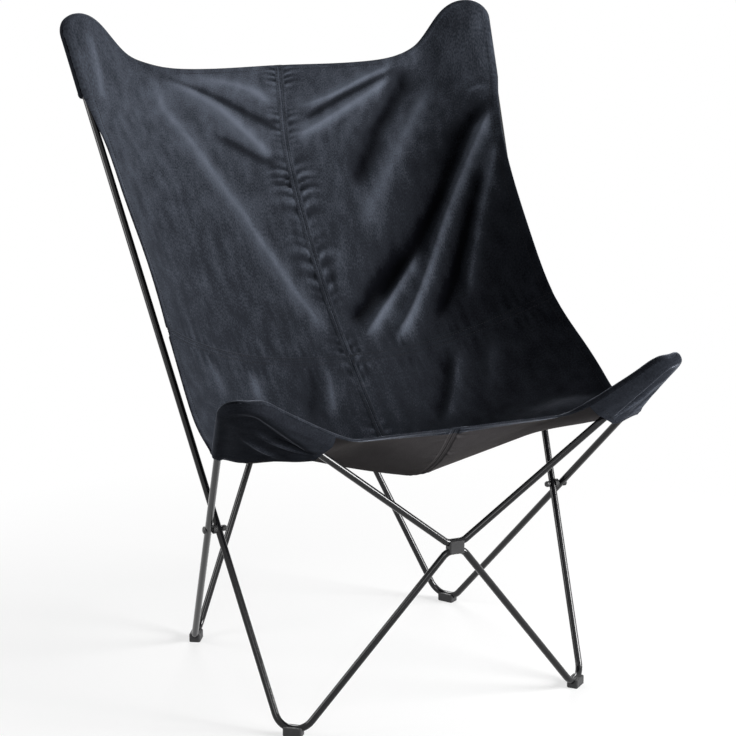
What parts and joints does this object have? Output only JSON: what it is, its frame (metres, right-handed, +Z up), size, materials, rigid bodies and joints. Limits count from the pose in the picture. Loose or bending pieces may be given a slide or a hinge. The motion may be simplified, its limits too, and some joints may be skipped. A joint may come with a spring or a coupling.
{
  "type": "butterfly sling chair",
  "caption": "Folding butterfly chair: crossed loops of thin black steel rod on foot glides carry a black velvet sling by its hooded corner pockets.",
  "frame": {"origin": "on the floor, under the middle of the open chair's box", "axes": "+Z up, the sitter faces -Y, +X to the right of the picture"},
  "size_m": [0.7074, 0.6866, 0.9358],
  "materials": {
    "frame_coat": "gloss black powder coat",
    "black_steel": "satin black",
    "black_plastic": "fine matt",
    "velvet": "black velvet with a blue-grey sheen"
  },
  "bodies": {
    "seat_loop": {"seat_loop_rod_left": "frame_coat", "seat_loop_rod_right": "frame_coat", "rear_rest_saddle": "black_plastic", "rear_foot_glide_left": "black_plastic", "rear_foot_glide_right": "black_plastic", "pivot_bolt_left": "black_steel", "pivot_bolt_right": "black_steel", "pivot_cap_nut_left": "black_steel", "pivot_cap_nut_right": "black_steel", "front_pocket_left": "velvet", "front_pocket_right": "velvet", "seat_panel_left": "velvet", "seat_panel_right": "velvet"},
    "back_loop": {"back_loop_rod_left": "frame_coat", "back_loop_rod_right": "frame_coat", "front_rest_saddle": "black_plastic", "front_foot_glide_left": "black_plastic", "front_foot_glide_right": "black_plastic", "pivot_spacer_left": "black_plastic", "pivot_spacer_right": "black_plastic", "top_pocket_left": "velvet", "top_pocket_right": "velvet", "back_panel_left": "velvet", "back_panel_right": "velvet"}
  },
  "joints": [
    {"name": "frame_fold", "type": "hinge", "parent": "seat_loop", "child": "back_loop", "pos_m": [0, -0.0896, 0.25503], "axis": [1, 0, 0], "range_deg": [0, 69], "deforming": ["seat_panel_left", "seat_panel_right", "back_panel_left", "back_panel_right"]}
  ]
}
